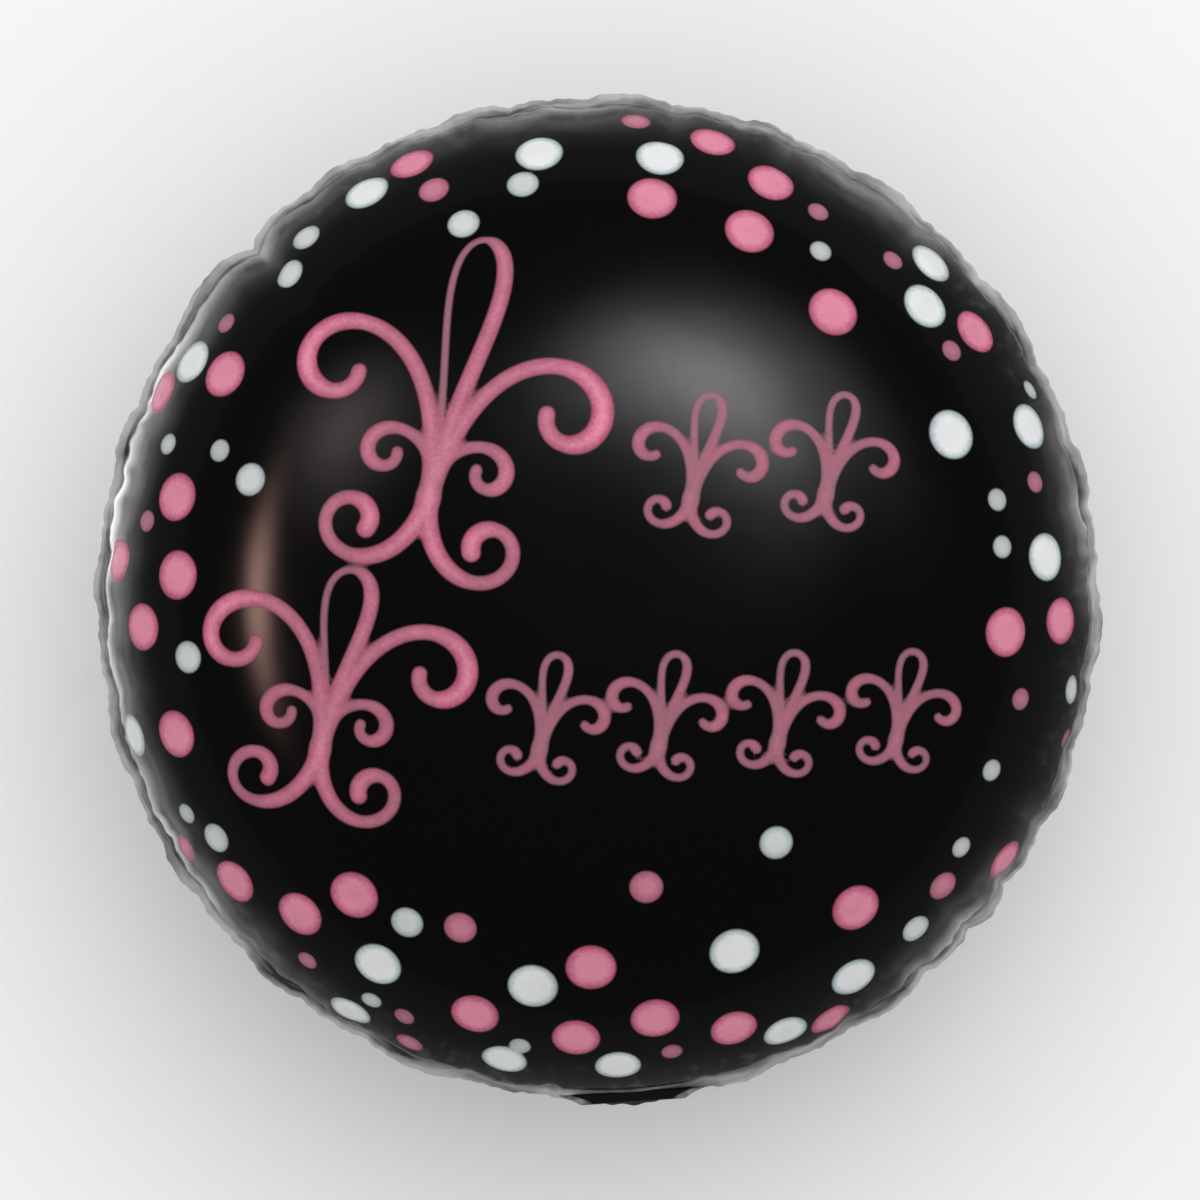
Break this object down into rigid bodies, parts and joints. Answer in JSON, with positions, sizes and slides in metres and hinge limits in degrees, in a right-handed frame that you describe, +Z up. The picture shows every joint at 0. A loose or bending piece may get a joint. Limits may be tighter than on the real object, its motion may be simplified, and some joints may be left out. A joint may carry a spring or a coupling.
{
  "type": "foil balloon",
  "caption": "Round two-sheet foil party balloon, filled and lying on its back, with a puckered welded rim and a flat filling neck.",
  "frame": {"origin": "middle of the small flat spot on the back that the balloon rests on", "axes": "+Z up and out of the printed front, +Y towards the print's top, +X towards the print's right; the neck hangs from the rim at -Y"},
  "size_m": [0.3504, 0.3518, 0.2028],
  "materials": {
    "printed_foil_front": "glossy black print on metallised film, with pink and silver glitter inks",
    "printed_foil_back": "glossy black print on metallised film, with pink and silver glitter dots",
    "neck_foil": "glossy black print on metallised film, pressed flat"
  },
  "bodies": {
    "root": {"front_panel": "printed_foil_front", "back_panel": "printed_foil_back", "filling_neck": "neck_foil"}
  },
  "joints": []
}
